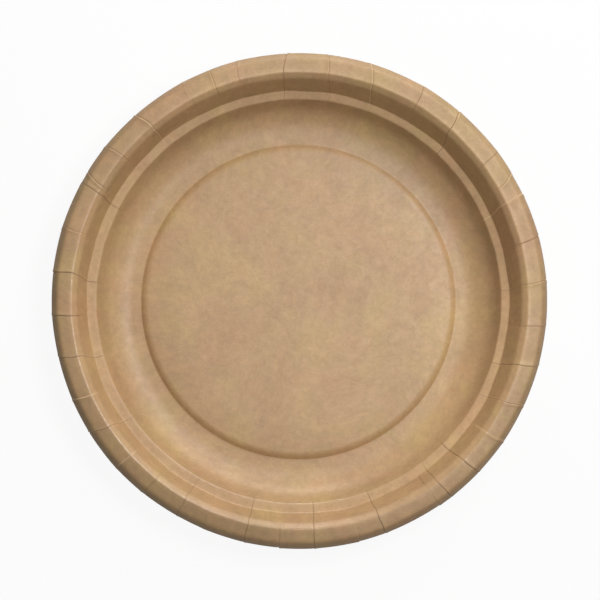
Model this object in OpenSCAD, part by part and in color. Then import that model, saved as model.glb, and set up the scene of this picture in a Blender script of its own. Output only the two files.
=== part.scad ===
/* [Plate] */
// Diameter over the outer edge
plate_d = 230; // [180:5:280]
// Height of the rim's crest above the table
plate_h = 24; // [20:0.5:28]
// Thickness of the pressed board
board_t = 0.5; // [0.4:0.05:0.7]

/* [Lip] */
// Width of the turned-down lip, seen from above
lip_w = 2.4; // [1.6:0.1:4]
// Fall of the lip, in degrees
lip_fall = 55; // [40:1:65]
// Radius of the bend between the rim and the lip
lip_bend = 3; // [1:0.1:4]

/* [Rim] */
// Width of the rim, from the top corner of the upper wall to the lip
rim_w = 7.8; // [6:0.1:14]
// Fall of the rim towards the lip, in degrees
rim_fall = 14; // [8:1:20]
// Radius of the bend over the rim's crest
crest_bend = 4.2; // [2:0.1:5]

/* [Walls] */
// Rise of the upper wall, in degrees
upper_rise = 62; // [52:1:68]
// Width of the ledge between the two walls
ledge_w = 4.1; // [3:0.1:8]
// Rise of the ledge towards the rim, in degrees
ledge_rise = 8; // [2:1:15]
// Height of the ledge's inner corner above the table
ledge_h = 11.6; // [9:0.1:14]
// Radius of the two bends of the ledge
ledge_bend = 1.1; // [0.6:0.1:1.6]
// Rise of the lower wall, in degrees
lower_rise = 55; // [45:1:62]
// Radius of the bend between the lower wall and the foot ring
foot_bend = 15; // [8:0.5:16]

/* [Bottom] */
// Width of the foot ring, between its two corners
foot_w = 13.2; // [12:0.1:20]
// Height of the centre panel above the foot ring
panel_h = 1.5; // [1.2:0.1:2]
// Rise of the step up to the centre panel, in degrees
panel_rise = 36; // [25:1:42]
// Radius of the bend between the foot ring and the step
step_bend = 0.8; // [0.5:0.1:2]
// Radius of the bend between the step and the centre panel
panel_bend = 4.5; // [2:0.5:6]

/* [Pleats] */
// Bearings at the cut edge of the pleats that fade out on the upper wall, in degrees
short_pleats = [15, 31, 37, 60, 105, 112, 118, 142, 163, 184, 203, 222, 231, 247, 265, 284, 354];
// Bearings at the cut edge of the pleats that fade out on the lower wall, in degrees
long_pleats = [5, 25, 50, 73, 83, 93, 131, 151, 173, 193, 212, 240, 257, 273, 290, 308, 316, 325, 335, 345];
// Length of a short pleat down the upper wall, from the rim's top corner
short_run = 5; // [4.5:0.5:8]
// Length of a long pleat down the lower wall, from the ledge's inner corner
long_run = 4.5; // [3:0.5:6]
// Width of the lap at a pleat
pleat_w = 2.6; // [1.8:0.1:4]
// Height of a fold above the board beside it
pleat_step = 0.3; // [0.16:0.02:0.34]
// Slant of a pleat from straight across the rim, in degrees
pleat_slant = 7; // [0:1:10]
// First bearing at which the pleats lean and slant the other way, in degrees
turned_from = 90; // [60:5:120]
// Last bearing at which the pleats lean and slant the other way, in degrees
turned_to = 270; // [240:5:300]
// Depth of the notch that a pleat leaves in the cut edge
notch_depth = 0.7; // [0.3:0.1:1.2]
// Width of that notch
notch_w = 0.4; // [0.2:0.1:0.8]

/* [Hidden] */
half_t = board_t / 2;
// Flat steps in a wide bend, in a tight bend and in any bend of a lap
wide_steps = 8;
tight_steps = 4;
lap_steps = 3;
// Radius from which a bend counts as wide
wide_from = 2;
// How much wider a lap's bends are than the board's
lap_slack = 0.4;
// How far the middle of a lap lies above the board's middle line
lap_lift = 0.06;
// Share of its thickness that a lap still has where it fades out
faded = 0.1;
// What a lap keeps clear of the board's cut edge
edge_margin = 0.5;

// The board's middle line, worked out from the outer edge inwards
edge_r = plate_d / 2 - half_t * sin(lip_fall);
lip_r = plate_d / 2 - lip_w;
top_r = lip_r - rim_w;
crest_reach = crest_bend * tan((upper_rise + rim_fall) / 2);
top_z = plate_h - half_t - crest_bend * (1 - cos(upper_rise)) + crest_reach * sin(upper_rise);
lip_z = top_z - rim_w * tan(rim_fall);
edge_z = lip_z - (edge_r - lip_r) * tan(lip_fall);
inner_z = ledge_h - half_t;
outer_z = inner_z + ledge_w * tan(ledge_rise);
outer_r = top_r - (top_z - outer_z) / tan(upper_rise);
inner_r = outer_r - ledge_w;
wall_r = inner_r - (inner_z - half_t) / tan(lower_rise);
step_r = wall_r - foot_w;
panel_r = step_r - panel_h / tan(panel_rise);
panel_z = half_t + panel_h;

// Its corners: radius, height and bend radius
axis_point = [0, panel_z, 0];
panel_corner = [panel_r, panel_z, panel_bend];
step_corner = [step_r, half_t, step_bend];
wall_corner = [wall_r, half_t, foot_bend];
inner_corner = [inner_r, inner_z, ledge_bend];
outer_corner = [outer_r, outer_z, ledge_bend];
top_corner = [top_r, top_z, crest_bend];
lip_corner = [lip_r, lip_z, lip_bend];
edge_point = [edge_r, edge_z, 0];

function direction(a, b) = atan2(b.y - a.y, b.x - a.x);

// The point at a given distance from a, on the line towards b
function along(a, b, run) = [a.x + run * cos(direction(a, b)), a.y + run * sin(direction(a, b)), 0];

// Stations of one bend, an arc that joins the corner's two lines: radius, height and direction there
function bend(before, corner, after, radius, steps) =
    let (
        first = direction(before, corner),
        turn = direction(corner, after) - first,
        reach = radius * tan(abs(turn) / 2),
        arm = sign(turn) * radius,
        centre = [
            corner.x - reach * cos(first) - arm * sin(first),
            corner.y - reach * sin(first) + arm * cos(first)
        ]
    )
    [for (i = [0:steps])
        let (way = first + turn * i / steps)
        [centre.x + arm * sin(way), centre.y - arm * cos(way), way]];

// Stations of a whole line of corners, straight between its bends, for the board or for a lap
function stations(corners, is_lap = false) =
    let (last = len(corners) - 1)
    concat(
        [[corners[0].x, corners[0].y, direction(corners[0], corners[1])]],
        [for (i = [1:last - 1])
            let (
                radius = corners[i][2] + (is_lap ? lap_slack : 0),
                steps = is_lap ? lap_steps : radius > wide_from ? wide_steps : tight_steps
            )
            each bend(corners[i - 1], corners[i], corners[i + 1], radius, steps)],
        [[corners[last].x, corners[last].y, direction(corners[last - 1], corners[last])]]
    );

// A station moved square to the line, to its upper side where the distance is positive
function beside(station, away) =
    [station.x - away * sin(station[2]), station.y + away * cos(station[2])];

// Section of the pressed board, as thick all along
module board_section() {
    line = stations([
        axis_point, panel_corner, step_corner, wall_corner, inner_corner,
        outer_corner, top_corner, lip_corner, edge_point
    ]);
    last = len(line) - 1;
    polygon(concat(
        [for (i = [0:last]) beside(line[i], half_t)],
        [for (i = [last:-1:0]) beside(line[i], -half_t)]
    ));
}

// Section of a lap, the board's own along the given corners, but thin where it fades out on a wall.
// It is laid out from the plate's outer edge, at the height of the ledge's outer corner.
// Its heights shrink with the strip's tip and its lengths grow with the slant,
// so that the tipped and slanting strip still follows the board.
module lap_section(corners, tip) {
    line = stations(corners, is_lap = true);
    last = len(line) - 1;
    half = [for (i = [0:last]) i == 0 ? faded * half_t : half_t];
    outline = concat(
        [for (i = [0:last]) beside(line[i], half[i])],
        [for (i = [last:-1:0]) beside(line[i], -half[i])]
    );
    polygon([for (point = outline)
        [(point.x - plate_d / 2) / cos(pleat_slant), (point.y - outer_z) * cos(tip)]]);
}

// One pleat, a narrow strip of board tipped about a level line across the rim,
// so that one fold stands above the board and the other stands below it
module pleat(bearing, corners) {
    lean = bearing >= turned_from && bearing <= turned_to ? 1 : -1;
    tip = atan(2 * pleat_step / pleat_w);
    rotate([0, 0, bearing])
        translate([plate_d / 2, 0, outer_z + lap_lift])
            rotate([0, 0, -lean * pleat_slant])
                rotate([lean * tip + 90, 0, 0])
                    linear_extrude(height = pleat_w, center = true)
                        lap_section(corners, tip);
}

// Pleats that start on the upper wall
module short_pleats_all() {
    start = along(top_corner, outer_corner, short_run);
    stop = along(edge_point, lip_corner, edge_margin);
    for (bearing = short_pleats)
        pleat(bearing, [start, top_corner, lip_corner, stop]);
}

// Pleats that start on the lower wall
module long_pleats_all() {
    start = along(inner_corner, wall_corner, long_run);
    stop = along(edge_point, lip_corner, edge_margin);
    for (bearing = long_pleats)
        pleat(bearing, [start, inner_corner, outer_corner, top_corner, lip_corner, stop]);
}

// Small notches in the cut edge, one at each pleat
module edge_notches() {
    for (bearing = concat(short_pleats, long_pleats))
        rotate([0, 0, bearing])
            translate([plate_d / 2 - notch_depth, -notch_w / 2, 0])
                cube([2 * notch_depth, notch_w, plate_h]);
}

// The whole plate, pressed from one round of board
module plate() {
    color("tan")
        difference() {
            union() {
                rotate_extrude($fn = 180)
                    board_section();
                short_pleats_all();
                long_pleats_all();
            }
            edge_notches();
        }
}

plate();
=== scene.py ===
"""A pressed kraft paper plate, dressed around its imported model, and the stage that it is shown on."""

import functools
import math
from collections import namedtuple

import bpy
import numpy as np
from mathutils import Matrix, Vector


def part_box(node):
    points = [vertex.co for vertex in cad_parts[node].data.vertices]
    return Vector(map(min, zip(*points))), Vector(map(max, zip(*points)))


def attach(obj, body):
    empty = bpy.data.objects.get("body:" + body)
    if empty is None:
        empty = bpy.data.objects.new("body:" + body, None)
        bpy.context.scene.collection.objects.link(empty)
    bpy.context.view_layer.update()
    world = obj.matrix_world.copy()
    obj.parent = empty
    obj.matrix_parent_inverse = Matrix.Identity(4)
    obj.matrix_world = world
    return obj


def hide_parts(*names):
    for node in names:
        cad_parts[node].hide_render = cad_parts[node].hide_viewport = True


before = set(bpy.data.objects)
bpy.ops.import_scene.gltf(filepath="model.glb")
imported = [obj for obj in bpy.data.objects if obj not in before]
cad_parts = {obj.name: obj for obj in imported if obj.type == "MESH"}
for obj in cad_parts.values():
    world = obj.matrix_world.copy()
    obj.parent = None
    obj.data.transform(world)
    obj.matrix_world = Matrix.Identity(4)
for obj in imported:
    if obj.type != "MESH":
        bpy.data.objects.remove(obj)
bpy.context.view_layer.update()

bl_info = {
    "name": "Kraft paper plate",
    "version": (1, 0, 0),
    "blender": (4, 5, 0),
    "location": "3D View > Sidebar > Plate",
    "description": "Presses a round plate from kraft board and lays it on a white table",
    "category": "Add Mesh",
}

PLATE_LOW, PLATE_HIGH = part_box("plate")
PLATE_WIDTH = PLATE_HIGH.x - PLATE_LOW.x
MM = 0.001
WHITE = (1.0, 1.0, 1.0, 1.0)

# A pleat: its bearing at the edge, how far it slants over the rim and drifts over the walls, in
# degrees; how far it runs in from the edge and how high its fold stands, in millimetres; the side
# its lap lies on, 1 for anticlockwise; the board's edge before and after it, out from the true
# circle, and its notch, in millimetres; how strong its line of painted shade is, and the line of
# painted highlight beside it, above zero on the anticlockwise side.
Pleat = namedtuple("Pleat", "bearing slant drift run height side before after notch dark light")
PLEATS = (
    Pleat(4.9, -0.9, -1.0, 33, 0.24, -1, 0.05, -0.05, 0.4, 1.0, 0.3),
    Pleat(15.3, -1.0, 0.0, 17, 0.16, 1, 0.00, 0.00, 0.4, 0.8, 0.0),
    Pleat(25.6, -0.4, -1.5, 33, 0.16, -1, -0.05, -0.25, 0.1, 0.0, 0.9),
    Pleat(31.2, -1.8, 0.0, 14, 0.22, -1, -0.45, 0.10, 0.1, 0.9, -0.7),
    Pleat(37.0, -0.6, 0.0, 16, 0.10, 1, 0.35, 0.25, 0.0, 1.0, 0.0),
    Pleat(49.9, -1.2, -1.8, 34, 0.28, -1, 0.15, 0.00, 0.5, 1.3, -0.6),
    Pleat(59.9, -0.7, 0.0, 17, 0.16, 1, 0.30, 0.00, 0.2, 1.0, 0.0),
    Pleat(73.1, -1.7, -1.4, 31, 0.22, 1, 0.00, -0.10, 0.3, 0.9, 0.7),
    Pleat(83.2, -0.5, -1.0, 33, 0.20, 1, -0.05, -0.05, 0.3, 0.7, 0.0),
    Pleat(92.9, 1.2, 0.0, 32, 0.18, -1, -0.05, -0.30, 0.4, 0.8, 0.0),
    Pleat(104.7, 0.8, 0.0, 16, 0.08, -1, 0.00, 0.00, 0.0, 0.4, 0.0),
    Pleat(111.4, 0.1, 0.0, 20, 0.18, 1, -0.10, -0.30, 0.4, 1.0, 0.0),
    Pleat(118.0, 0.2, 0.0, 15, 0.08, 1, -0.10, -0.10, 0.0, 0.4, 0.0),
    Pleat(131.6, -1.4, -0.3, 30, 0.30, 1, -0.25, -0.20, 0.2, 1.0, 0.4),
    Pleat(141.7, -1.0, 0.0, 20, 0.24, 1, 0.10, 0.15, 0.0, 1.3, 0.0),
    Pleat(148.7, 1.4, 0.0, 18, 0.22, 1, 0.10, -0.20, 0.4, 1.3, 0.2),
    Pleat(151.4, 0.6, 0.9, 33, 0.14, -1, -0.15, 0.10, 0.1, 0.9, 0.0),
    Pleat(162.7, 0.2, 0.0, 17, 0.16, 1, 0.30, 0.30, 0.0, 0.9, 0.0),
    Pleat(173.5, -0.3, 1.6, 34, 0.24, -1, 0.15, -0.05, 0.2, 1.1, -0.4),
    Pleat(183.5, 0.5, 0.0, 19, 0.20, -1, 0.00, 0.00, 0.0, 1.3, 0.0),
    Pleat(193.2, 1.1, 1.2, 33, 0.18, -1, -0.35, -0.40, 0.1, 0.9, -0.5),
    Pleat(203.4, 0.9, 0.0, 16, 0.18, 1, -0.10, 0.05, 0.1, 0.0, 0.9),
    Pleat(212.1, 1.4, 1.2, 33, 0.20, -1, 0.15, 0.20, 0.2, 0.8, -0.7),
    Pleat(222.0, 0.4, 0.0, 18, 0.14, 1, 0.40, 0.35, 0.0, 0.0, 0.8),
    Pleat(230.7, 0.6, 0.0, 17, 0.14, -1, 0.10, 0.00, 0.0, 0.6, 0.0),
    Pleat(240.0, 0.1, 0.3, 33, 0.16, 1, -0.35, -0.35, 0.0, 0.6, 0.0),
    Pleat(246.8, 0.0, 0.0, 15, 0.08, -1, -0.40, -0.20, 0.1, 0.4, 0.0),
    Pleat(256.9, 0.0, 0.3, 33, 0.18, 1, -0.20, -0.10, 0.1, 1.0, 0.0),
    Pleat(265.1, 0.0, 0.0, 15, 0.12, 1, -0.15, 0.30, 0.5, 0.4, 0.0),
    Pleat(273.3, 0.2, 0.4, 33, 0.18, 1, 0.30, 0.30, 0.1, 1.0, 0.0),
    Pleat(284.0, 0.0, 0.0, 12, 0.10, -1, 0.30, 0.00, 0.2, 0.3, 0.0),
    Pleat(290.3, -0.3, -0.3, 33, 0.18, 1, -0.05, -0.10, 0.1, 1.0, 0.0),
    Pleat(304.3, 0.0, 0.0, 10, 0.10, 1, -0.20, 0.35, 0.2, 0.2, 0.0),
    Pleat(307.8, -0.6, -0.2, 31, 0.16, 1, 0.35, 0.30, 0.0, 1.0, 0.0),
    Pleat(316.2, -0.6, -0.5, 34, 0.22, 1, 0.20, 0.10, 0.2, 1.0, 0.0),
    Pleat(325.5, -0.8, 0.0, 24, 0.20, -1, 0.10, 0.10, 0.1, 0.0, 0.9),
    Pleat(335.0, -1.2, -0.9, 33, 0.22, -1, -0.30, -0.10, 0.1, 1.2, 0.7),
    Pleat(344.7, -1.1, -1.1, 33, 0.22, 1, -0.10, -0.10, 0.1, 1.0, 0.5),
    Pleat(354.1, -0.6, 0.0, 18, 0.10, 1, -0.20, -0.10, 0.0, 0.4, 0.0),
)

# Distances from a fold at which the board has points, in millimetres, and the fold's form there on
# the lower layer's side and on the lap's, as a share of its height
FOLD_REACH = np.array([0.03, 0.10, 0.20, 0.40, 0.80, 1.30, 1.90, 2.60])
LOWER_FORM = np.array([-0.45, -0.32, -0.20, -0.08, -0.02, 0.00, 0.00, 0.00])
LAP_FORM = np.array([0.02, 0.28, 0.58, 0.95, 0.90, 0.48, 0.18, 0.00])
CREVICE_FORM = -0.60
# Largest share of a panel that the points beside one of its folds may take up
FOLD_SHARE = 0.46
PANEL_STEPS = 6

# Stretches of the board in from the cut edge, in millimetres, from where a thing starts to where
# it is whole
FOLD_SLANTS = (-2.0, 11.0)
FOLD_DRIFTS = (9.0, 27.0)
FOLD_WAVERS = (0.0, 5.0)
FOLD_SINKS = (8.0, 12.0)
LAP_SPREADS = (0.0, 1.5)
FACET_STARTS = (-4.0, 6.0)
FACET_ENDS = (40.0, 28.0)
EDGE_STEPS = (6.0, 0.0)
NOTCH_CUTS = (1.2, 0.0)
BOARD_WARPS = (30.0, 0.0)
RIM_MARK = (9.6, 8.1)
LIP_MARK = (4.4, 3.2)
# The sine of the board's rise from which it counts as a wall, and at which it wholly is one
WALL_MARK = (0.55, 0.85)

# How far apart two pleats are before the lap underneath starts to spread to its side, and spreads
# the whole way, in degrees
LAP_ROOM = (3.0, 6.0)
# Radius at which the wall's foot is shifted the most, and how far the shifts of the foot and of
# the ledge reach to either side, in millimetres
FOOT_RADIUS = 84.0
FOOT_REACH = 10.0
LEDGE_REACH = 5.0
# Half widths of a notch and of the marks on a pressed corner, the distance of a painted highlight
# line from its fold, and the width over which the ledge's mark comes in, in millimetres
NOTCH_WIDTH = 0.22
CORNER_WIDTH = 0.45
PAINTED_HIGHLIGHT_ASIDE = 0.3
LEDGE_EASE = 0.6
# Half width of a painted highlight line against a painted crease shade line's
PAINTED_HIGHLIGHT_WIDTH = 1.5

# Sines along a fold: length in millimetres, share of the pleat's phase, strength
WAVER_SINES = ((1.6, 1, 1.0), (4.3, 2, 0.6))
PLEAT_PHASE = 2.4
# Sines around the plate: how many, phase, strength
WARP_SINES = ((2, 0.6, 1.0), (3, 2.1, 0.7), (7, 0.0, 0.5))
LEDGE_SINES = ((9, 0.4, 0.5), (14, 2.0, 0.5), (23, 1.1, 0.4))

# Marks that the board's skin carries for its material, among them painted crease shade and painted highlights
MARKS = ("crease", "lit", "rim", "wall", "lip", "corner", "ledge")

# Flat spans and bend steps of the section, from the axis outwards
Detail = namedtuple("Detail", "spans bends")
INSIDE_DETAIL = Detail((6, 1, 4, 4, 2, 4, 1, 4, 3), (3, 3, 6, 4, 4, 4, 5, 4))
UNDERSIDE_DETAIL = Detail((3, 1, 2, 3, 1, 3, 1, 3, 2), (2, 2, 4, 3, 3, 3, 3, 3))

Corner = namedtuple("Corner", "radius height bend")
Corners = namedtuple("Corners", "axis panel step wall inner outer top crest lip edge")

# One face of the board, with a row for each station of the section and a column for each bearing:
# the middle line's radius, height and direction, how far in from the cut edge it is, in
# millimetres, the bearing, the distance from the nearest fold, the place between two folds, from 0
# to 1, the angle between those, the pleat that the nearest fold belongs to and the panel's number
Grid = namedtuple("Grid", "radius height lean inwards bearing distance place gap owner panel")


def length(name, description, default):
    return bpy.props.FloatProperty(name=name, description=description, default=default, unit="LENGTH", precision=5)


def angle(name, description, degrees):
    return bpy.props.FloatProperty(name=name, description=description, default=math.radians(degrees), subtype="ANGLE")


def share(name, description, default):
    return bpy.props.FloatProperty(name=name, description=description, default=default, subtype="FACTOR")


def power(name, description, default):
    return bpy.props.FloatProperty(name=name, description=description, default=default, unit="POWER")


def colour(name, description, default):
    return bpy.props.FloatVectorProperty(
        name=name, description=description, default=default, size=3, min=0.0, max=1.0, subtype="COLOR"
    )


class PlateSection(bpy.types.PropertyGroup):
    """Sizes of the pressed board's section."""

    outer_diameter: length("Outer diameter", "Diameter over the cut edge", PLATE_WIDTH)
    crest_height: length("Crest height", "Height of the rim's crest above the table", 0.024)
    board: length("Board", "Thickness of the pressed board", 0.0005)
    lip_width: length("Lip width", "Width of the turned-down lip, seen from above", 0.0024)
    lip_fall: angle("Lip fall", "Fall of the lip", 55)
    lip_bend: length("Lip bend", "Radius of the bend between the rim and the lip", 0.003)
    rim_width: length("Rim width", "Width of the rim, from the crest to the lip", 0.0067)
    rim_fall: angle("Rim fall", "Fall of the rim towards the lip, before its ease", 8)
    crest_bend: length("Crest bend", "Radius of the bend over the crest", 0.0013)
    shoulder_width: length("Shoulder width", "Width of the shoulder between the upper wall and the crest", 0.0026)
    shoulder_rise: angle("Shoulder rise", "Rise of that shoulder", 38)
    shoulder_bend: length("Shoulder bend", "Radius of the bend between the upper wall and the shoulder", 0.005)
    upper_rise: angle("Upper rise", "Rise of the upper wall", 64)
    ledge_width: length("Ledge width", "Width of the ledge between the two walls", 0.0041)
    ledge_rise: angle("Ledge rise", "Rise of the ledge towards the rim", 8)
    ledge_height: length("Ledge height", "Height of the ledge's inner corner above the table", 0.0116)
    ledge_bend: length("Ledge bend", "Radius of the ledge's two bends", 0.0011)
    lower_rise: angle("Lower rise", "Rise of the lower wall", 58)
    foot_bend: length("Foot bend", "Radius of the bend between the lower wall and the foot ring", 0.016)
    foot_width: length("Foot width", "Width of the foot ring, between its two corners", 0.0141)
    step_bend: length("Step bend", "Radius of the bend between the foot ring and the step", 0.0008)
    panel_height: length("Panel height", "Height of the centre panel above the foot ring", 0.0015)
    panel_rise: angle("Panel rise", "Rise of the step up to the centre panel", 36)
    panel_bend: length("Panel bend", "Radius of the bend between the step and the centre panel", 0.0045)


class PlateShape(bpy.types.PropertyGroup):
    """How far the pressed board strays from a true revolve."""

    pleat_fade: length("Pleat fade", "Length over which a pleat fades out at its inner end", 0.007)
    lap_width: length("Lap width", "Width of the lap, from the fold inside to the fold underneath", 0.0026)
    facet: share("Facets", "How flat the walls are between two pleats, 1 for a chord", 0.35)
    waver: length("Waver", "How far a fold strays from a straight line", 0.0001)
    fold_share: share("Fold height", "Height of the folds on the rim, as a share of the pleats' own", 0.90)
    wall_share: share("Fold height on the walls", "Height of the folds on the walls, as a share of that", 0.50)
    # The dark line in a fold is painted shade, and the painted highlight line beside it takes its width from this too
    crease_width: length("Crease width", "Half width of the dark line in a fold", 0.00018)
    warp: length("Warp", "How far the rim strays up and down", 0.00012)
    rim_ease: angle("Rim ease", "How much less than its section the rim falls all round", 5)
    rim_flex: angle("Rim flex", "How much more the rim falls on its lowest side", 9)
    rim_lift: angle("Rim lift", "How much less the rim falls on the other side", 4)
    rim_flat: length("Rim flat", "Distance from the crest at which the flex and the lift start", 0.0004)
    rim_bearing: angle("Rim bearing", "Bearing at which the rim falls the most", 240)
    ledge_shift: length("Ledge shift", "How far the ledge's outer corner lies to one side", 0.0006)
    ledge_bearing: angle("Ledge bearing", "Bearing to which the ledge's outer corner is shifted", 220)
    ledge_sway: length("Ledge sway", "How far the ledge strays in and out", 0.00024)
    foot_oval: length("Foot oval", "How far the foot of the wall strays from a circle", 0.0010)
    oval_bearing: angle("Oval bearing", "Bearing at which the wall's foot lies furthest out", 75)


class BoardFinish(bpy.types.PropertyGroup):
    """Colours, grain and sheen of the kraft board."""

    kraft: colour("Kraft", "Main colour of the board", (0.500, 0.310, 0.150))
    warm: colour("Warm patches", "Colour of the pinkish patches", (0.520, 0.305, 0.150))
    straw: colour("Straw patches", "Colour of the yellowish patches and the light fibres", (0.500, 0.328, 0.142))
    fleck: colour("Flecks", "Colour of the dark fibre flecks", (0.240, 0.130, 0.055))
    fleck_depth: share("Fleck depth", "How strongly the dark flecks show", 0.40)
    fibre_depth: share("Fibre depth", "How strongly the light fibres show", 0.55)
    # Painted shade in the folds: colour and strength of the dark line along each crease
    crease: colour("Creases", "Colour inside the folds", (0.220, 0.120, 0.050))
    crease_depth: share("Crease depth", "How strongly the folds are darkened", 0.72)
    # Painted highlight: colour and strength of the pale line on a fold's lit side
    lit: colour("Light folds", "Colour of the light line beside a fold", (0.700, 0.470, 0.260))
    lit_depth: share("Light fold depth", "How strongly the light lines show", 0.85)
    cloud: share("Clouds", "How far the wide clouds stray from the board's mean tone", 0.22)
    blotch: share("Blotches", "How far the small blotches stray from it", 0.065)
    grain: share("Grain", "How far the grain strays from it", 0.03)
    # Painted shade: the rim, the lip and the steep walls are darkened, standing in for the lesser light that their
    # slopes get
    painted_rim_shade: share("Rim tone", "Tone of the pleated rim against the panel's", 0.885)
    painted_lip_shade: share("Lip tone", "Tone of the turned-down lip against the rim's", 0.82)
    painted_wall_shade: share("Wall tone", "Tone of the walls against the panel's", 0.87)
    roughness: share("Roughness", "Mean roughness of the pressed face", 0.48)
    rough_spread: share("Roughness spread", "How far the blotches stray from the mean roughness", 0.06)
    corner_shine: share("Corner shine", "How much less rough the pressed corners are", 0.18)
    ledge_dull: share("Ledge dullness", "How much rougher the ledge is", 0.14)
    rim_dull: share("Rim dullness", "How much rougher the rim is", 0.08)
    gloss: share("Gloss", "Strength of the pressed face's reflections", 0.64)
    grain_relief: length("Grain relief", "Height of the grain", 0.00002)
    blotch_relief: length("Blotch relief", "Height of the blotches", 0.00010)


class StageLook(bpy.types.PropertyGroup):
    """The table, the lamps and the camera."""

    table: colour("Table", "Colour of the table", (0.9, 0.9, 0.9))
    table_glow: share("Table glow", "How much of the table's white is plain, with no shadow in it", 0.93)
    table_reach: length("Table reach", "Distance from the plate's centre to the table's sides", 6.0)
    table_gap: length("Table gap", "Distance of the table below the plate's foot", 0.0001)
    lamp_distance: length("Lamp distance", "Distance of the lamps from the plate", 0.8)
    lamp_size: length("Lamp size", "Side of a lamp's square face", 0.30)
    high_power: power("High lamp", "Power of the high lamp", 3.8)
    high_bearing: angle("High bearing", "Bearing of the high lamp, anticlockwise from +X", 30)
    high_zenith: angle("High zenith", "Angle of the high lamp from straight up", 20)
    side_power: power("Side lamp", "Power of the lamp at the side", 2.2)
    side_bearing: angle("Side bearing", "Bearing of the lamp at the side", 60)
    side_zenith: angle("Side zenith", "Angle of the lamp at the side from straight up", 60)
    low_power: power("Low lamp", "Power of the low lamp", 2.6)
    low_bearing: angle("Low bearing", "Bearing of the low lamp", 90)
    low_zenith: angle("Low zenith", "Angle of the low lamp from straight up", 75)
    sky: colour("Sky", "Colour of the light from all around", (1.0, 0.93, 0.86))
    sky_strength: bpy.props.FloatProperty(name="Sky strength", description="Strength of the sky's light", default=0.02)
    camera_distance: length("Camera distance", "Distance of the camera from the rim", 3.0)
    camera_tilt: angle("Camera tilt", "Angle of the camera from straight up", 2.4)
    camera_bearing: angle("Camera bearing", "Bearing that the camera leans to", 232)
    view_width: length("View width", "Width of the view at the height of the rim", 0.2780)
    view_right: length("View right", "How far the view's centre lies to the right of the plate's", 0.00009)
    view_up: length("View up", "How far the view's centre lies above the plate's", 0.00013)


def section_corners(size):
    """Corners of the board's middle line, from the axis to the cut edge.

    The rim is laid out from the outer diameter inwards and the walls from their rise and height,
    so that every corner lies where two straight stretches would meet.
    """
    half = size.board / 2
    edge_r = size.outer_diameter / 2 - half * math.sin(size.lip_fall)
    lip_r = size.outer_diameter / 2 - size.lip_width
    crest_r = lip_r - size.rim_width
    crest_reach = size.crest_bend * math.tan((size.shoulder_rise + size.rim_fall) / 2)
    crest_drop = size.crest_bend * (1 - math.cos(size.shoulder_rise))
    crest_z = size.crest_height - half - crest_drop + crest_reach * math.sin(size.shoulder_rise)
    lip_z = crest_z - size.rim_width * math.tan(size.rim_fall)
    top_r = crest_r - size.shoulder_width
    top_z = crest_z - size.shoulder_width * math.tan(size.shoulder_rise)
    edge_z = lip_z - (edge_r - lip_r) * math.tan(size.lip_fall)
    inner_z = size.ledge_height - half
    outer_z = inner_z + size.ledge_width * math.tan(size.ledge_rise)
    outer_r = top_r - (top_z - outer_z) / math.tan(size.upper_rise)
    inner_r = outer_r - size.ledge_width
    wall_r = inner_r - (inner_z - half) / math.tan(size.lower_rise)
    step_r = wall_r - size.foot_width
    panel_r = step_r - size.panel_height / math.tan(size.panel_rise)
    panel_z = half + size.panel_height
    return Corners(
        axis=Corner(0.0, panel_z, 0.0),
        panel=Corner(panel_r, panel_z, size.panel_bend),
        step=Corner(step_r, half, size.step_bend),
        wall=Corner(wall_r, half, size.foot_bend),
        inner=Corner(inner_r, inner_z, size.ledge_bend),
        outer=Corner(outer_r, outer_z, size.ledge_bend),
        top=Corner(top_r, top_z, size.shoulder_bend),
        crest=Corner(crest_r, crest_z, size.crest_bend),
        lip=Corner(lip_r, lip_z, size.lip_bend),
        edge=Corner(edge_r, edge_z, 0.0),
    )


def middle_line(corners, detail):
    """Stations along the middle line: radius, height and direction, as three arrays.

    Each corner is an arc tangent to its two straight lines, whose ends lie radius x tan(half the
    turn) from the corner, and the straight stretches between the arcs are cut into equal spans.
    """
    points = np.array([corner[:2] for corner in corners])
    steps = np.diff(points, axis=0)
    ways = np.arctan2(steps[:, 1], steps[:, 0])
    turns = np.diff(ways)
    radii = np.array([corner.bend for corner in corners[1:-1]])
    reaches = radii * np.tan(np.abs(turns) / 2)
    along = np.stack([np.cos(ways), np.sin(ways)], axis=1)
    starts = points[:-1] + along * np.append(0.0, reaches)[:, None]
    ends = points[1:] - along * np.append(reaches, 0.0)[:, None]
    stretches = []
    for i, way in enumerate(ways):
        part = np.arange(detail.spans[i])[:, None] / detail.spans[i]
        straight = starts[i] + (ends[i] - starts[i]) * part
        stretches.append(np.column_stack([straight, np.full(len(straight), way)]))
        if i < len(turns):
            arm = np.sign(turns[i]) * radii[i]
            centre = ends[i] + arm * np.array([-math.sin(way), math.cos(way)])
            bearing = way + turns[i] * np.arange(detail.bends[i]) / detail.bends[i]
            arc = centre + arm * np.stack([np.sin(bearing), -np.cos(bearing)], axis=1)
            stretches.append(np.column_stack([arc, bearing]))
    stretches.append([[*points[-1], ways[-1]]])
    return np.concatenate(stretches).T


def ease(value, stretch):
    """0 at a stretch's start and 1 at its end, with level ends: 3v^2 - 2v^3 of the way between."""
    start, end = stretch
    held = np.clip((value - start) / (end - start), 0.0, 1.0)
    return held * held * (3 - 2 * held)


def bell(value, width):
    """1 at zero, easing off to both sides: e to the power of -(value / width)^2."""
    return np.exp(-((value / width) ** 2))


def sines(bearing, terms):
    """Sum of sines around the plate: strength x sin(count x bearing + phase)."""
    return sum(strength * np.sin(count * bearing + phase) for count, phase, strength in terms)


def pleat_values(name):
    return np.array([getattr(pleat, name) for pleat in PLEATS], float)


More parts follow.
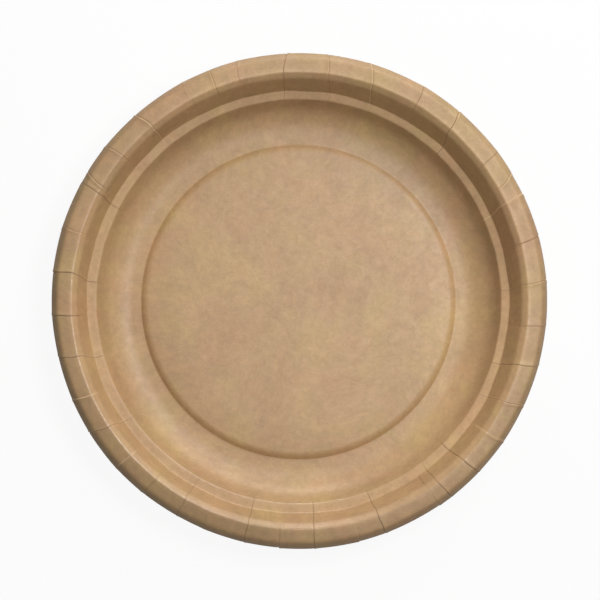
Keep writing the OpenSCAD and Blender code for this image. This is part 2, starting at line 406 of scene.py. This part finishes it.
def fold_bearings(inwards, shape, lap_turn):
    """Bearing of every pleat's fold at every station, in radians.

    A fold starts at its own bearing at the cut edge, slants over the rim and drifts on over the
    walls, and wavers as a sum of two sines. lap_turn moves it sideways from the edge on, for the
    fold underneath, but less where the next pleat on that side is near.
    """
    bearing = np.radians(pleat_values("bearing"))
    slant = np.radians(pleat_values("slant")) * ease(inwards, FOLD_SLANTS)
    drift = np.radians(pleat_values("drift")) * ease(inwards, FOLD_DRIFTS)
    phase = PLEAT_PHASE * np.arange(len(PLEATS))
    slow = sum(strength * np.sin(inwards / stretch + times * phase) for stretch, times, strength in WAVER_SINES)
    waver = slow * shape.waver / (PLATE_WIDTH / 2) * ease(inwards, FOLD_WAVERS)
    side = pleat_values("side")
    ahead = (np.roll(bearing, -1) - bearing) % (2 * math.pi)
    room = np.where(side > 0, ahead, np.roll(ahead, 1))
    shift = lap_turn * side * ease(np.degrees(room), LAP_ROOM) * ease(inwards, LAP_SPREADS)
    return bearing + slant + drift + waver + shift


def board_columns(folds):
    """Bearings of the grid's columns at every station, and what each column belongs to.

    From each fold to the next a panel has one column on the fold, eight close behind it, six
    spread over the middle and eight close before the next fold. Where two folds are near, the
    close ones shrink to less than half the gap, so that the columns keep their order. Also
    returned are each column's angle from its own fold, its place between the two folds, their
    gap and the number of its pleat.
    """
    reach = FOLD_REACH * MM / (PLATE_WIDTH / 2)
    following = np.roll(folds, -1, axis=1)
    following[:, -1] += 2 * math.pi
    here = folds[:, :, None]
    there = following[:, :, None]
    near = reach * np.minimum(1.0, FOLD_SHARE * (there - here) / reach[-1])
    low = here + near[:, :, -1:]
    high = there - near[:, :, -1:]
    part = np.arange(1, PANEL_STEPS + 1) / (PANEL_STEPS + 1)
    columns = np.concatenate([here, here + near, low + (high - low) * part, there - near[:, :, ::-1]], axis=2)
    count = len(PLEATS)
    first_half = 1 + len(reach) + PANEL_STEPS // 2
    owner = np.repeat(np.arange(count)[:, None], columns.shape[2], axis=1)
    owner[:, first_half:] += 1
    own_fold = np.where(owner < count, 0.0, 2 * math.pi) + folds[:, owner % count]
    place = (columns - here) / (there - here)
    rows = len(folds)
    return (
        columns.reshape(rows, -1),
        (columns - own_fold).reshape(rows, -1),
        place.reshape(rows, -1),
        (there - here + 0 * columns).reshape(rows, -1),
        (owner % count).ravel(),
    )


def board_grid(corners, detail, shape, face):
    """The grid of one face, from the axis to the cut edge; face is 1 inside, -1 underneath.

    The distance in from the cut edge is the sum of the middle line's steps from there, and the
    distance from a fold is the angle from it times the radius.
    """
    radius, height, way = middle_line(corners, detail)
    steps = np.hypot(np.diff(radius), np.diff(height))
    inwards = np.append(np.cumsum(steps[::-1])[::-1], 0.0)[:, None] / MM
    lap_turn = 0.0 if face > 0 else shape.lap_width / (PLATE_WIDTH / 2)
    bearing, offset, place, gap, owner = board_columns(fold_bearings(inwards, shape, lap_turn))
    panel = np.arange(len(owner)) // (len(owner) // len(PLEATS))
    radius = radius[:, None]
    return Grid(
        radius, height[:, None], way[:, None], inwards, bearing, offset * radius, place, gap, owner, panel
    )


def fold_fade(grid, shape):
    """1 along a pleat and 0 beyond its inner end, easing over the fade's length."""
    run = pleat_values("run")[grid.owner]
    return ease(grid.inwards, (run, run - shape.pleat_fade / MM))


def fold_rise(grid, shape, face):
    """How far the folds lift the board's face.

    Each fold's own height, less of it on the walls, times its form: straight lines between the
    listed points, with a narrow crevice on the fold itself, the lap's rounded edge on one
    side, easing down over its width, and the lower layer on the other side.
    """
    on_walls = 1 - (1 - shape.wall_share) * ease(grid.inwards, FOLD_SINKS)
    tall = pleat_values("height")[grid.owner] * MM * fold_fade(grid, shape) * shape.fold_share * on_walls
    spots = np.concatenate([-FOLD_REACH[::-1], [0.0], FOLD_REACH]) * MM
    forms = np.concatenate([LOWER_FORM[::-1], [CREVICE_FORM], LAP_FORM])
    return tall * np.interp(grid.distance * pleat_values("side")[grid.owner] * face, spots, forms)


def edge_reach(grid):
    """How far the board reaches outwards along itself near its cut edge.

    From fold to fold the edge runs straight from the one's after to the next one's before, and at
    each fold a notch is cut into it, as a bell curve.
    """
    before = pleat_values("before")
    after = pleat_values("after")[grid.panel]
    edge = after + (before[(grid.panel + 1) % len(PLEATS)] - after) * grid.place
    edge = np.where(grid.place == 0, before[grid.panel], edge)
    notch = pleat_values("notch")[grid.owner] * bell(grid.distance, NOTCH_WIDTH * MM)
    return MM * (edge * ease(grid.inwards, EDGE_STEPS) - notch * ease(grid.inwards, NOTCH_CUTS))


def rim_rise(grid, corners, size, shape):
    """How far the rim lies above its section.

    It warps as a sum of sines, most at the cut edge. Beyond the crest it rises by the tangent of
    the ease, and a little further out it falls by the tangent of the flex, which goes with the
    fourth power of the cosine from the lowest side, less the lift, which goes with its square on
    the other side.
    """
    warp = shape.warp * sines(grid.bearing, WARP_SINES) * ease(grid.inwards, BOARD_WARPS)
    facing = np.cos(grid.bearing - shape.rim_bearing)
    flex = shape.rim_flex * np.maximum(facing, 0.0) ** 4 - shape.rim_lift * np.maximum(-facing, 0.0) ** 2
    beyond = grid.radius - corners.crest.radius
    falling = np.clip(beyond - shape.rim_flat, 0.0, size.rim_width - shape.rim_flat)
    return warp + np.maximum(beyond, 0.0) * np.tan(shape.rim_ease) - falling * np.tan(flex)


def wall_shift(grid, corners, shape):
    """How far the walls lie outwards of their section.

    Between two folds they are partly flat: radius x gap^2 / 8 is the rise of the arc over its
    chord, spread as 4p(1 - p) over the place p, less its mean. The ledge is shifted by the cosine
    from its bearing and sways as a sum of sines. The wall's foot is oval, by the cosine of twice
    the bearing.
    """
    rise = shape.facet * grid.radius * grid.gap ** 2 / 8
    facets = rise * (4 * grid.place * (1 - grid.place) - 2 / 3)
    facets = facets * ease(grid.inwards, FACET_STARTS) * ease(grid.inwards, FACET_ENDS)
    shift = shape.ledge_shift * np.cos(grid.bearing - shape.ledge_bearing)
    shift = shift + shape.ledge_sway * sines(grid.bearing, LEDGE_SINES)
    ledge = ease(np.abs(grid.radius - corners.outer.radius), (LEDGE_REACH * MM, 0.0))
    oval = shape.foot_oval * np.cos(2 * (grid.bearing - shape.oval_bearing))
    foot = ease(np.abs(grid.radius - FOOT_RADIUS * MM), (FOOT_REACH * MM, 0.0))
    return shift * ledge + oval * foot - facets


def board_marks(grid, corners, shape):
    """The face's marks for the material, each from 0 to about 1.

    The painted crease shade and the painted highlight lines beside it are bell curves across the
    folds, and so are the pressed corners across the section. The rim, the walls, the lip and the
    ledge ease in and out; the material paints shade on the rim, the walls and the lip.
    """
    fade = fold_fade(grid, shape)
    light = pleat_values("light")[grid.owner]
    aside = grid.distance - np.sign(light) * PAINTED_HIGHLIGHT_ASIDE * MM
    all_round = 1 + 0 * grid.bearing
    pressed = (corners.inner, corners.outer, corners.crest)
    inner_side = ease(grid.radius - corners.inner.radius, (0.0, LEDGE_EASE * MM))
    outer_side = ease(corners.outer.radius - grid.radius, (0.0, LEDGE_EASE * MM))
    return {
        # Painted shade in the creases, and painted highlight lines beside the folds
        "crease": fade * pleat_values("dark")[grid.owner] * bell(grid.distance, shape.crease_width),
        "lit": fade * np.abs(light) * bell(aside, PAINTED_HIGHLIGHT_WIDTH * shape.crease_width),
        "rim": ease(grid.inwards, RIM_MARK) * all_round,
        "wall": ease(np.sin(grid.lean), WALL_MARK) * all_round,
        "lip": ease(grid.inwards, LIP_MARK) * all_round,
        "corner": sum(bell(grid.radius - corner.radius, CORNER_WIDTH * MM) for corner in pressed) * all_round,
        "ledge": inner_side * outer_side * all_round,
    }


def board_skin(corners, detail, size, shape, face):
    """One face of the board as a grid of points, from the axis out to the cut edge, and its marks.

    The middle line is turned about the axis and moved square to itself by half the board and the
    folds' rise, to the face's side. It is drawn in or out along itself at the cut edge, moved
    outwards at the walls and upwards at the rim. face is 1 inside, -1 underneath.
    """
    grid = board_grid(corners, detail, shape, face)
    away = face * (size.board / 2 + fold_rise(grid, shape, face))
    out = edge_reach(grid)
    across = grid.radius - away * np.sin(grid.lean) + out * np.cos(grid.lean) + wall_shift(grid, corners, shape)
    across = np.where(grid.radius == 0, 0.0, across)
    up = grid.height + away * np.cos(grid.lean) + out * np.sin(grid.lean) + rim_rise(grid, corners, size, shape)
    points = np.stack([across * np.cos(grid.bearing), across * np.sin(grid.bearing), up], axis=2)
    return points, board_marks(grid, corners, shape)


def cut_edge(inside, underside):
    """The ring of points halfway down the cut edge, a tenth of the board's thickness proud."""
    middle = (inside + underside) / 2
    down = underside - inside
    out = middle / np.linalg.norm(middle[:, :2], axis=1)[:, None]
    out[:, 2] = 0.0
    return middle + out * np.linalg.norm(down, axis=1)[:, None] * 0.1


def closed_faces(rows, columns):
    """Faces of a grid whose columns close round and whose first and last rows are single poles.

    Vertex 0 is the first pole, then row after row of columns, and the last vertex is the other
    pole. The rings between are quads and the two poles are fans of triangles.
    """
    here = np.arange(columns)
    there = (here + 1) % columns
    ring = 1 + columns * np.arange(rows - 1)[:, None]
    quads = np.stack([ring + here, ring + columns + here, ring + columns + there, ring + there], axis=2)
    last = 1 + columns * rows
    foot = 1 + columns * (rows - 1)
    first_fan = np.stack([np.zeros(columns, int), 1 + here, 1 + there], axis=1)
    last_fan = np.stack([foot + here, np.full(columns, last), foot + there], axis=1)
    return quads.reshape(-1, 4), np.concatenate([first_fan, last_fan])


def new_mesh(name, points, quads, triangles):
    """A mesh from arrays of points and faces, with smooth faces."""
    mesh = bpy.data.meshes.new(name)
    loops = np.concatenate([quads.ravel(), triangles.ravel()])
    sizes = np.concatenate([np.full(len(quads), 4), np.full(len(triangles), 3)])
    starts = np.concatenate([[0], np.cumsum(sizes)[:-1]])
    mesh.vertices.add(len(points))
    mesh.vertices.foreach_set("co", points.astype(np.float32).ravel())
    mesh.loops.add(len(loops))
    mesh.loops.foreach_set("vertex_index", loops.astype(np.int32))
    mesh.polygons.add(len(sizes))
    mesh.polygons.foreach_set("loop_start", starts.astype(np.int32))
    mesh.update(calc_edges=True)
    mesh.validate()
    mesh.shade_smooth()
    return mesh


def new_object(name, data):
    obj = bpy.data.objects.new(name, data)
    bpy.context.scene.collection.objects.link(obj)
    return obj


def add_attribute(mesh, name, values):
    attribute = mesh.attributes.new(name, "FLOAT", "POINT")
    attribute.data.foreach_set("value", values.astype(np.float32))


class Nodes:
    """Short ways to add and join the nodes of a material or a world."""

    def __init__(self, owner):
        owner.use_nodes = True
        self.owner = owner
        self.tree = owner.node_tree

    def add(self, kind, inputs=None, **settings):
        node = self.tree.nodes.new(kind)
        for name, value in settings.items():
            setattr(node, name, value)
        for socket, value in (inputs or {}).items():
            self.put(node.inputs[socket], value)
        return node

    def put(self, socket, value):
        """Joins a socket to another one, or sets its value."""
        if isinstance(value, bpy.types.NodeSocket):
            self.tree.links.new(value, socket)
        else:
            socket.default_value = value

    def noise(self, where, scale, detail, roughness=0.5, distortion=0.0):
        node = self.add(
            "ShaderNodeTexNoise",
            {"Vector": where, "Scale": scale, "Detail": detail, "Roughness": roughness, "Distortion": distortion},
        )
        return node.outputs["Fac"]

    def span(self, value, low, high, to_low=0.0, to_high=1.0):
        node = self.add(
            "ShaderNodeMapRange",
            {"Value": value, "From Min": low, "From Max": high, "To Min": to_low, "To Max": to_high},
        )
        return node.outputs["Result"]

    def mix(self, factor, first, second, blend="MIX"):
        node = self.add("ShaderNodeMix", {0: factor, 6: first, 7: second}, data_type="RGBA", blend_type=blend)
        return node.outputs[2]

    def maths(self, operation, first, second):
        return self.add("ShaderNodeMath", {0: first, 1: second}, operation=operation).outputs[0]

    def times(self, *factors):
        return functools.reduce(functools.partial(self.maths, "MULTIPLY"), factors)

    def stretched(self, where, turn, lengths):
        mapping = self.add("ShaderNodeMapping", {"Vector": where, "Rotation": turn, "Scale": lengths})
        return mapping.outputs["Vector"]

    def seen(self):
        """1 for what the camera sees, or a reflection or something clear shows it; 0 for light."""
        path = self.add("ShaderNodeLightPath").outputs
        seen = self.maths("MAXIMUM", path["Is Camera Ray"], path["Is Glossy Ray"])
        return self.maths("MAXIMUM", seen, path["Is Transmission Ray"])


def rgba(colour_value):
    return (*colour_value, 1.0)


def kraft_material(finish):
    """Kraft board.

    Its colour is kraft with faint warm and straw patches, times the tones of the clouds, the
    blotches and the grain, and times painted shade on the rim, the lip and the steep walls, with
    sparse short fibres, painted highlight lines beside the folds and painted shade in the creases
    laid over it. Its roughness follows the blotches, with dots of shine along the pressed corners
    and a duller ledge and rim, and its grain and blotches stand up a little.
    """
    nodes = Nodes(bpy.data.materials.new("kraft_board"))
    shader = nodes.tree.nodes["Principled BSDF"]
    where = nodes.add("ShaderNodeTexCoord").outputs["Object"]
    clouds = nodes.noise(where, scale=22.0, detail=7.0, roughness=0.95, distortion=0.3)
    patches = nodes.noise(where, scale=42.0, detail=3.0, roughness=0.6, distortion=0.5)
    blotches = nodes.noise(where, scale=260.0, detail=4.0, roughness=0.65, distortion=0.8)
    dots = nodes.noise(where, scale=420.0, detail=2.0, roughness=0.6)
    along = nodes.stretched(where, turn=(0.0, 0.0, 0.5), lengths=(1.0, 3.5, 1.0))
    across = nodes.stretched(where, turn=(0.0, 0.0, 2.1), lengths=(1.0, 3.5, 1.0))
    grain = nodes.maths(
        "ADD",
        nodes.noise(along, scale=700.0, detail=3.0, roughness=0.6, distortion=1.2),
        nodes.noise(across, scale=620.0, detail=3.0, roughness=0.6, distortion=1.2),
    )
    mark = {name: nodes.add("ShaderNodeAttribute", attribute_name=name).outputs["Fac"] for name in MARKS}

    tone = nodes.mix(nodes.span(patches, 0.32, 0.50), rgba(finish.warm), rgba(finish.kraft))
    tone = nodes.mix(nodes.span(patches, 0.50, 0.68), tone, rgba(finish.straw))
    shade = nodes.times(
        nodes.span(clouds, 0.30, 0.70, 1.0 - finish.cloud, 1.0 + finish.cloud),
        nodes.span(blotches, 0.25, 0.75, 1.0 - finish.blotch, 1.0 + finish.blotch),
        nodes.span(grain, 0.70, 1.30, 1.0 - finish.grain, 1.0 + finish.grain),
        # Painted shade on the rim, the steep walls and the lip
        nodes.span(mark["rim"], 0.0, 1.0, 1.0, finish.painted_rim_shade),
        nodes.span(mark["wall"], 0.0, 1.0, 1.0, finish.painted_wall_shade),
        nodes.span(mark["lip"], 0.0, 1.0, 1.0, finish.painted_lip_shade),
    )
    grey = nodes.add("ShaderNodeCombineColor", {"Red": shade, "Green": shade, "Blue": shade}).outputs[0]
    tone = nodes.mix(1.0, tone, grey, "MULTIPLY")
    for stretch, fibre_colour, depth in (
        (along, finish.fleck, finish.fleck_depth),
        (across, finish.straw, finish.fibre_depth),
    ):
        cells = nodes.add("ShaderNodeTexVoronoi", {"Vector": stretch, "Scale": 330.0}, feature="F1")
        rare = nodes.span(nodes.noise(stretch, scale=250.0, detail=1.0), 0.62, 0.67)
        fibre = nodes.times(nodes.span(cells.outputs["Distance"], 0.22, 0.10), rare, depth)
        tone = nodes.mix(fibre, tone, rgba(fibre_colour))
    # Painted highlight: pale lines beside the folds
    tone = nodes.mix(nodes.times(mark["lit"], finish.lit_depth), tone, rgba(finish.lit))
    # Painted shade: the board is darkened along the creases
    tone = nodes.mix(nodes.times(mark["crease"], finish.crease_depth), tone, rgba(finish.crease))
    nodes.put(shader.inputs["Base Color"], tone)

    spread = finish.rough_spread
    rough = nodes.span(blotches, 0.30, 0.72, finish.roughness + spread, finish.roughness - spread)
    shine = nodes.times(mark["corner"], nodes.span(dots, 0.40, 0.56, 0.0, finish.corner_shine))
    rough = nodes.maths("SUBTRACT", rough, shine)
    rough = nodes.maths("ADD", rough, nodes.span(mark["ledge"], 0.0, 1.0, 0.0, finish.ledge_dull))
    rough = nodes.maths("ADD", rough, nodes.span(mark["rim"], 0.0, 1.0, 0.0, finish.rim_dull))
    nodes.put(shader.inputs["Roughness"], rough)
    shader.inputs["Specular IOR Level"].default_value = finish.gloss
    fine = nodes.add("ShaderNodeBump", {"Height": grain, "Strength": 0.5, "Distance": finish.grain_relief})
    uneven = nodes.add(
        "ShaderNodeBump",
        {"Height": blotches, "Strength": 0.6, "Distance": finish.blotch_relief, "Normal": fine.outputs[0]},
    )
    nodes.put(shader.inputs["Normal"], uneven.outputs[0])
    return nodes.owner


def table_material(look):
    """White table: it shows white to the camera and in gloss, and keeps part of the plate's shadow."""
    nodes = Nodes(bpy.data.materials.new("white_table"))
    shader = nodes.tree.nodes["Principled BSDF"]
    shader.inputs["Base Color"].default_value = rgba(look.table)
    shader.inputs["Roughness"].default_value = 0.9
    shader.inputs["Specular IOR Level"].default_value = 0.0
    glow = nodes.add("ShaderNodeEmission", {"Color": WHITE, "Strength": 1.0})
    part = nodes.times(nodes.seen(), look.table_glow)
    blend = nodes.add("ShaderNodeMixShader", {0: part, 1: shader.outputs[0], 2: glow.outputs[0]})
    nodes.put(nodes.tree.nodes["Material Output"].inputs["Surface"], blend.outputs[0])
    return nodes.owner


def sky_world(look):
    """Sky: its own soft light on the plate, and plain white where the camera or a reflection sees it."""
    nodes = Nodes(bpy.data.worlds.new("soft_sky"))
    nodes.tree.nodes.clear()
    light = nodes.add("ShaderNodeBackground", {"Color": rgba(look.sky), "Strength": look.sky_strength})
    white = nodes.add("ShaderNodeBackground", {"Color": WHITE, "Strength": 1.0})
    blend = nodes.add("ShaderNodeMixShader", {0: nodes.seen(), 1: light.outputs[0], 2: white.outputs[0]})
    nodes.add("ShaderNodeOutputWorld", {"Surface": blend.outputs[0]})
    return nodes.owner


def direction(bearing, zenith):
    """Unit vector at a bearing, anticlockwise from +X, and an angle from straight up."""
    return Vector((
        math.sin(zenith) * math.cos(bearing),
        math.sin(zenith) * math.sin(bearing),
        math.cos(zenith),
    ))


def aim(obj, place, target):
    """Puts a lamp or camera at a place, looking at a target with +Y up in its view."""
    back = (place - target).normalized()
    right = Vector((0.0, 1.0, 0.0)).cross(back).normalized()
    obj.matrix_world = Matrix.Translation(place) @ Matrix((right, back.cross(right), back)).transposed().to_4x4()


class PLATE_OT_press_board(bpy.types.Operator):
    """Press the plate from one round of kraft board"""

    bl_idname = "plate.press_board"
    bl_label = "Press the plate"

    def execute(self, context):
        scene = context.scene
        size = scene.plate_section
        shape = scene.plate_shape
        corners = section_corners(size)
        inside, inside_marks = board_skin(corners, INSIDE_DETAIL, size, shape, 1)
        under, under_marks = board_skin(corners, UNDERSIDE_DETAIL, size, shape, -1)
        edge = cut_edge(inside[-1], under[-1])
        rings = np.concatenate([inside[1:], edge[None], under[:0:-1]])
        points = np.concatenate([inside[0, :1], rings.reshape(-1, 3), under[0, :1]])
        quads, triangles = closed_faces(len(rings), inside.shape[1])
        mesh = new_mesh("pressed_plate", points, quads, triangles)
        for name in MARKS:
            above = inside_marks[name]
            below = under_marks[name]
            around = np.concatenate([above[1:].ravel(), above[-1], below[:0:-1].ravel()])
            add_attribute(mesh, name, np.concatenate([above[0, :1], around, below[0, :1]]))
        mesh.materials.append(kraft_material(scene.plate_finish))
        plate = new_object("pressed_plate", mesh)
        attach(plate, "root")
        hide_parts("plate")
        return {"FINISHED"}


class PLATE_OT_set_stage(bpy.types.Operator):
    """Lay a white table under the plate and set up the lamps, the sky and the camera"""

    bl_idname = "plate.set_stage"
    bl_label = "Set the stage"

    def execute(self, context):
        scene = context.scene
        look = scene.plate_stage
        scene.view_settings.view_transform = "Standard"
        reach = look.table_reach
        low = -look.table_gap
        corners = np.array([[-reach, -reach, low], [reach, -reach, low], [reach, reach, low], [-reach, reach, low]])
        mesh = new_mesh("white_table", corners, np.array([[0, 1, 2, 3]]), np.zeros((0, 3), int))
        mesh.materials.append(table_material(look))
        table = new_object("white_table", mesh)
        scene.world = sky_world(look)
        rim = Vector((0.0, 0.0, scene.plate_section.crest_height))
        for name in ("high", "side", "low"):
            light = bpy.data.lights.new(name + "_lamp", "AREA")
            light.energy = getattr(look, name + "_power")
            light.shape = "SQUARE"
            light.size = look.lamp_size
            way = direction(getattr(look, name + "_bearing"), getattr(look, name + "_zenith"))
            aim(new_object(light.name, light), rim + way * look.lamp_distance, rim)
        lens = bpy.data.cameras.new("camera")
        lens.sensor_width = 36.0
        lens.lens = lens.sensor_width * look.camera_distance / look.view_width
        lens.clip_end = 50.0
        camera = new_object("camera", lens)
        target = rim + Vector((look.view_right, look.view_up, 0.0))
        aim(camera, target + direction(look.camera_bearing, look.camera_tilt) * look.camera_distance, target)
        scene.camera = camera
        return {"FINISHED"}


class PLATE_PT_sidebar(bpy.types.Panel):
    """Sizes, finish and stage of the plate"""

    bl_idname = "PLATE_PT_sidebar"
    bl_label = "Plate"
    bl_space_type = "VIEW_3D"
    bl_region_type = "UI"
    bl_category = "Plate"

    def draw(self, context):
        for name in GROUPS:
            group = getattr(context.scene, name)
            box = self.layout.box()
            for key in group.__annotations__:
                box.prop(group, key)
        self.layout.operator(PLATE_OT_press_board.bl_idname)
        self.layout.operator(PLATE_OT_set_stage.bl_idname)


GROUPS = {
    "plate_section": PlateSection,
    "plate_shape": PlateShape,
    "plate_finish": BoardFinish,
    "plate_stage": StageLook,
}
CLASSES = (*GROUPS.values(), PLATE_OT_press_board, PLATE_OT_set_stage, PLATE_PT_sidebar)


def register():
    for cls in CLASSES:
        bpy.utils.register_class(cls)
    for name, group in GROUPS.items():
        setattr(bpy.types.Scene, name, bpy.props.PointerProperty(type=group))


def unregister():
    for name in GROUPS:
        delattr(bpy.types.Scene, name)
    for cls in reversed(CLASSES):
        bpy.utils.unregister_class(cls)


def main():
    register()
    bpy.ops.plate.press_board()
    bpy.ops.plate.set_stage()


if __name__ == "__main__":
    main()
